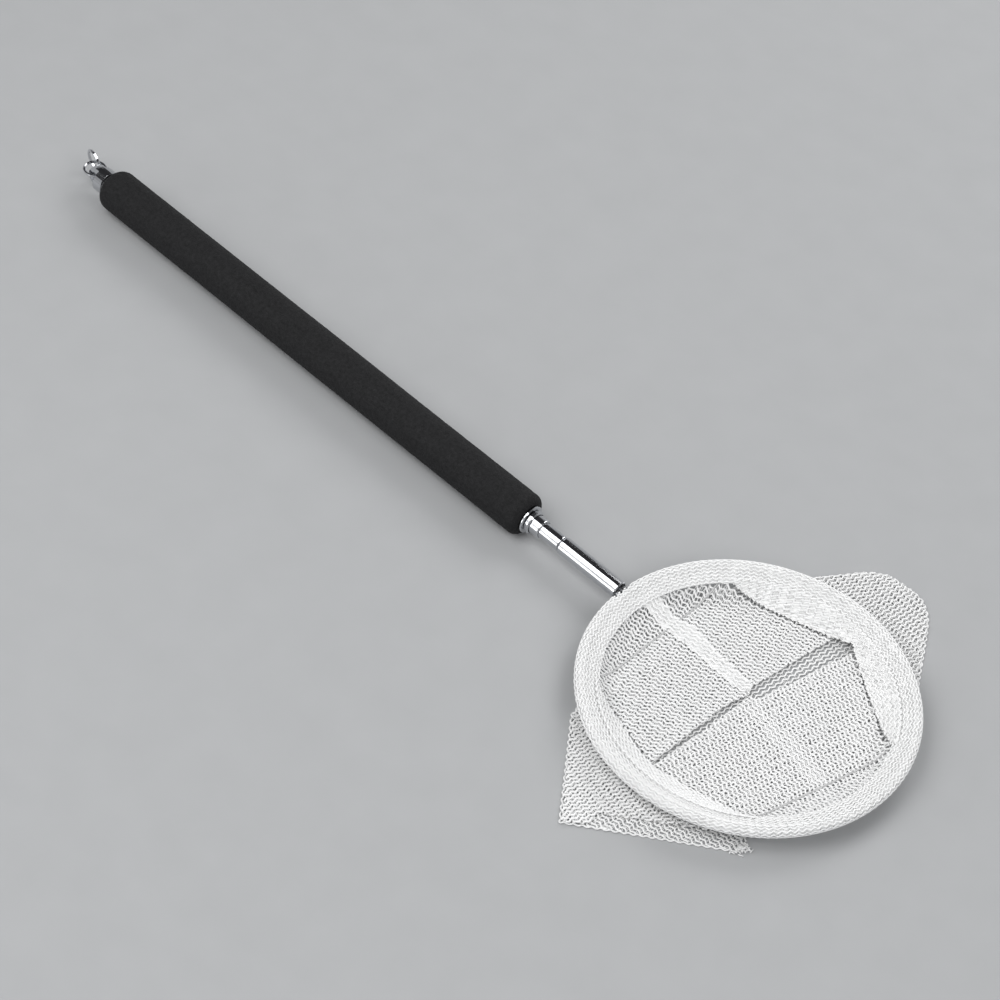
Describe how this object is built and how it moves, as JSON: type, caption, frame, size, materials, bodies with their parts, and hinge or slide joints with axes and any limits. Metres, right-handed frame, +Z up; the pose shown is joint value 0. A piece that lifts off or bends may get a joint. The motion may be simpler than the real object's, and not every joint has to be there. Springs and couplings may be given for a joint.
{
  "type": "extendable fish net",
  "caption": "Hand net with a telescopic metal handle, foam grip and wire rings at the butt, and a shallow knitted mesh bag on a round hoop.",
  "frame": {"origin": "on the table under the centre of the hoop, on the under face of the bag", "axes": "+X along the handle from the butt towards the hoop, +Z up from the table"},
  "size_m": [0.4202, 0.1719, 0.017],
  "materials": {
    "foam": "matte closed-cell foam",
    "chrome": "polished",
    "wire": "drawn wire",
    "brass": "plain",
    "mesh": "white knitted nylon mesh",
    "hem": "doubled white knitted nylon mesh"
  },
  "bodies": {
    "handle": {"foam_grip": "foam", "outer_tube": "chrome", "front_washer": "chrome", "front_collar": "chrome", "rear_washer": "chrome", "butt_cap": "chrome"},
    "middle_bush": {"middle_bush_upper": "brass", "middle_bush_lower": "brass"},
    "middle_section": {"middle_tube": "chrome"},
    "inner_bush": {"inner_bush_upper": "brass", "inner_bush_lower": "brass"},
    "net": {"inner_tube": "chrome", "end_sleeve": "chrome", "hoop_wire": "wire", "net_hem": "hem", "net_bag": "mesh", "net_base": "mesh", "side_seam": "mesh"},
    "cap_ring": {"cap_ring": "chrome"},
    "hang_ring": {"hang_ring": "chrome"}
  },
  "joints": [
    {"name": "middle_slide", "type": "slide", "parent": "handle", "child": "middle_bush", "axis": [1, 0, 0], "range_m": [0, 0.221]},
    {"name": "middle_turn", "type": "hinge", "parent": "middle_bush", "child": "middle_section", "pos_m": [-0.2, 0, 0.0085], "axis": [1, 0, 0], "continuous": true},
    {"name": "inner_slide", "type": "slide", "parent": "middle_section", "child": "inner_bush", "axis": [1, 0, 0], "range_m": [0, 0.22]},
    {"name": "net_turn", "type": "hinge", "parent": "inner_bush", "child": "net", "pos_m": [-0.2, 0, 0.0085], "axis": [1, 0, 0], "continuous": true},
    {"name": "cap_ring_swing", "type": "hinge", "parent": "handle", "child": "cap_ring", "pos_m": [-0.3452, 0, 0.0085], "axis": [0.3714, 0.9285, 0], "range_deg": [-70, 80]},
    {"name": "hang_ring_swing", "type": "hinge", "parent": "cap_ring", "child": "hang_ring", "pos_m": [-0.35203, 0.0047, 0.0085], "axis": [0.735, 0.678, 0], "range_deg": [-10, 100]}
  ]
}
